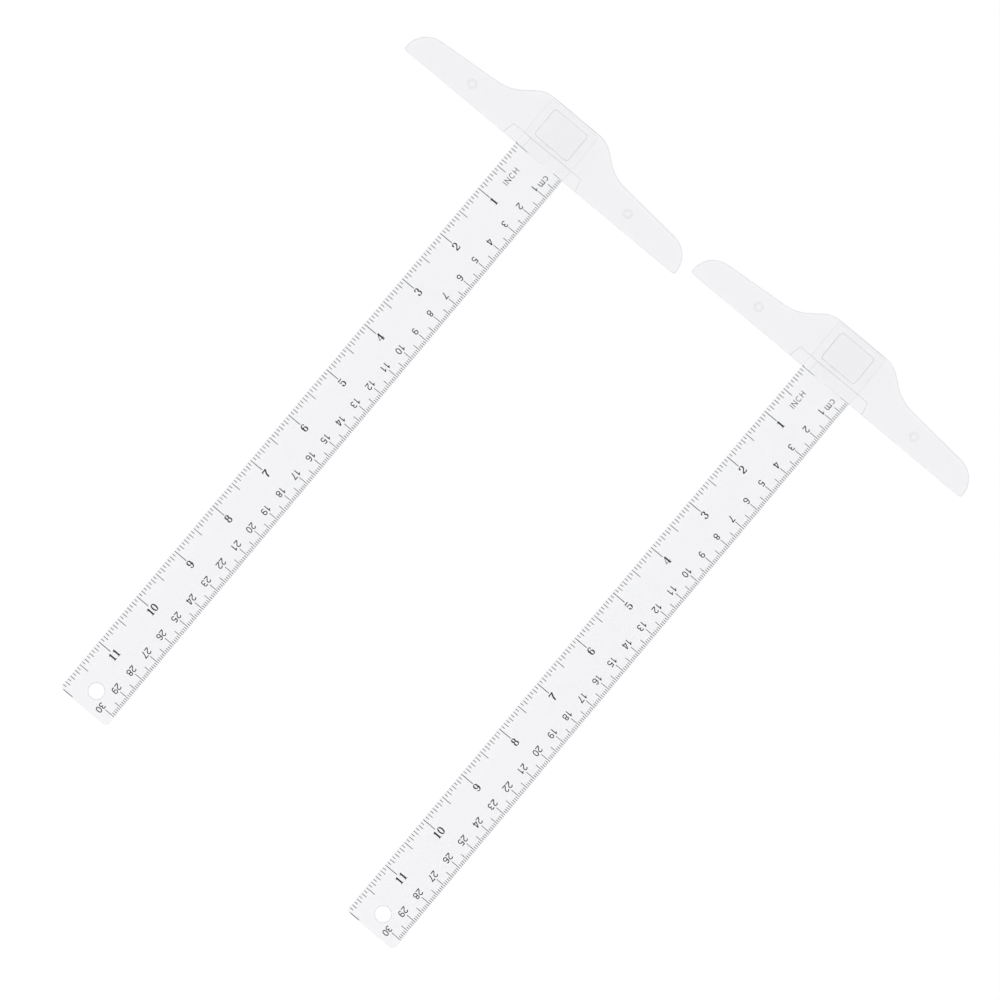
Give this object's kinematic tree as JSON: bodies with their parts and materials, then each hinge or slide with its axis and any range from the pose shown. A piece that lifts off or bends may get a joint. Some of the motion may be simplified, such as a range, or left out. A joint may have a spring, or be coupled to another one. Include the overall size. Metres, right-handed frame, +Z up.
{
  "type": "pair of clear t-squares",
  "caption": "Pair of clear plastic T-squares, each a humped head that slides on a board's edge and a pull-out blade with cm and inch scales.",
  "frame": {"origin": "middle of the pair's box, on the surface that both squares lie on", "axes": "+X along the heads towards the right-hand square, +Y from the blades' tips towards the heads, +Z up"},
  "size_m": [0.3068, 0.336, 0.0046],
  "materials": {
    "clear_head": "clear moulded plastic, slightly hazy",
    "clear_blade": "clear polished strip",
    "ink": "printed black lines"
  },
  "bodies": {
    "left_head": {"left_head": "clear_head"},
    "left_blade": {"left_blade": "clear_blade", "left_cm_scale": "ink", "left_inch_scale": "ink"},
    "right_head": {"right_head": "clear_head"},
    "right_blade": {"right_blade": "clear_blade", "right_cm_scale": "ink", "right_inch_scale": "ink"}
  },
  "joints": [
    {"name": "left_blade_pull", "type": "slide", "parent": "left_head", "child": "left_blade", "axis": [0, -1, 0], "range_m": [0, 0.03]},
    {"name": "right_blade_pull", "type": "slide", "parent": "right_head", "child": "right_blade", "axis": [0, -1, 0], "range_m": [0, 0.03]},
    {"name": "right_square_slide", "type": "slide", "parent": "left_head", "child": "right_head", "axis": [1, 0, 0], "range_m": [-0.003, 0.12]}
  ]
}
